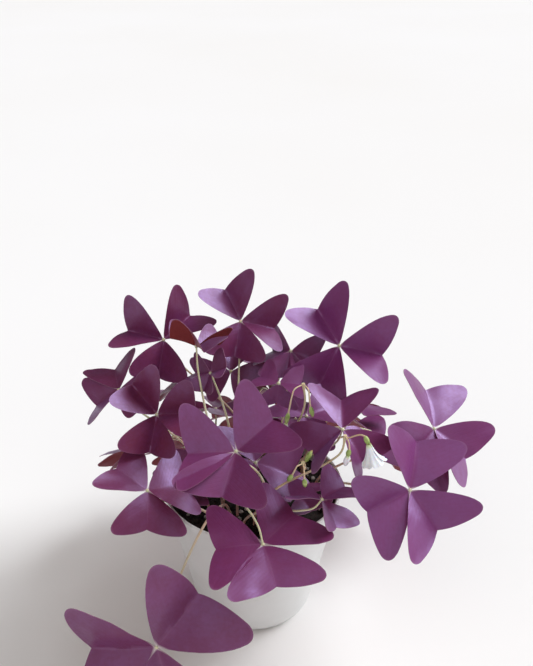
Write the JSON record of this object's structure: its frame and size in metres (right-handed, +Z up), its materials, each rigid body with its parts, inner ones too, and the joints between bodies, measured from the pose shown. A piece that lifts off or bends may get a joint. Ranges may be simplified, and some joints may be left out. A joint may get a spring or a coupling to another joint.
{
  "type": "potted purple shamrock",
  "caption": "Bushy three-lobed purple foliage plant on thin arching stalks with a few small white flowers, in a plain tapered white pot of soil.",
  "frame": {"origin": "middle of the pot's flat base, on the surface it stands on", "axes": "+Z up along the pot's axis; the plant's fullest side, with the low hanging leaf, faces -Y; +X to that side's right"},
  "size_m": [0.2819, 0.2794, 0.2287],
  "materials": {
    "pot": "smooth, slightly glossy white",
    "soil": "damp dark potting mix with white perlite",
    "leaf": "satin purple, paler sheen above, wine red beneath",
    "flower_stalk": "smooth pale green",
    "petal": "thin, matt, near white"
  },
  "bodies": {
    "root": {"pot": "pot", "soil": "soil", "leaf_01": "leaf", "leaf_02": "leaf", "leaf_03": "leaf", "leaf_04": "leaf", "leaf_05": "leaf", "leaf_06": "leaf", "leaf_07": "leaf", "leaf_08": "leaf", "leaf_09": "leaf", "leaf_10": "leaf", "leaf_11": "leaf", "leaf_12": "leaf", "leaf_13": "leaf", "leaf_14": "leaf", "leaf_15": "leaf", "leaf_16": "leaf", "leaf_17": "leaf", "leaf_18": "leaf", "leaf_19": "leaf", "leaf_20": "leaf", "leaf_21": "leaf", "leaf_22": "leaf", "leaf_23": "leaf", "leaf_24": "leaf", "leaf_25": "leaf", "leaf_26": "leaf", "leaf_27": "leaf", "leaf_28": "leaf", "leaf_29": "leaf", "leaf_30": "leaf", "leaf_31": "leaf", "leaf_32": "leaf", "leaf_33": "leaf", "leaf_34": "leaf", "leaf_35": "leaf", "leaf_36": "leaf", "flower_stalk_1": "flower_stalk", "flower_stalk_2": "flower_stalk", "flower_stalk_3": "flower_stalk", "flower_1a_pedicel": "flower_stalk", "flower_1b_pedicel": "flower_stalk", "flower_2a_pedicel": "flower_stalk", "flower_2b_pedicel": "flower_stalk", "flower_2c_pedicel": "flower_stalk", "flower_3a_pedicel": "flower_stalk", "flower_3b_pedicel": "flower_stalk", "flower_1a_petals": "petal", "flower_1b_petals": "petal", "flower_3a_petals": "petal"}
  },
  "joints": []
}
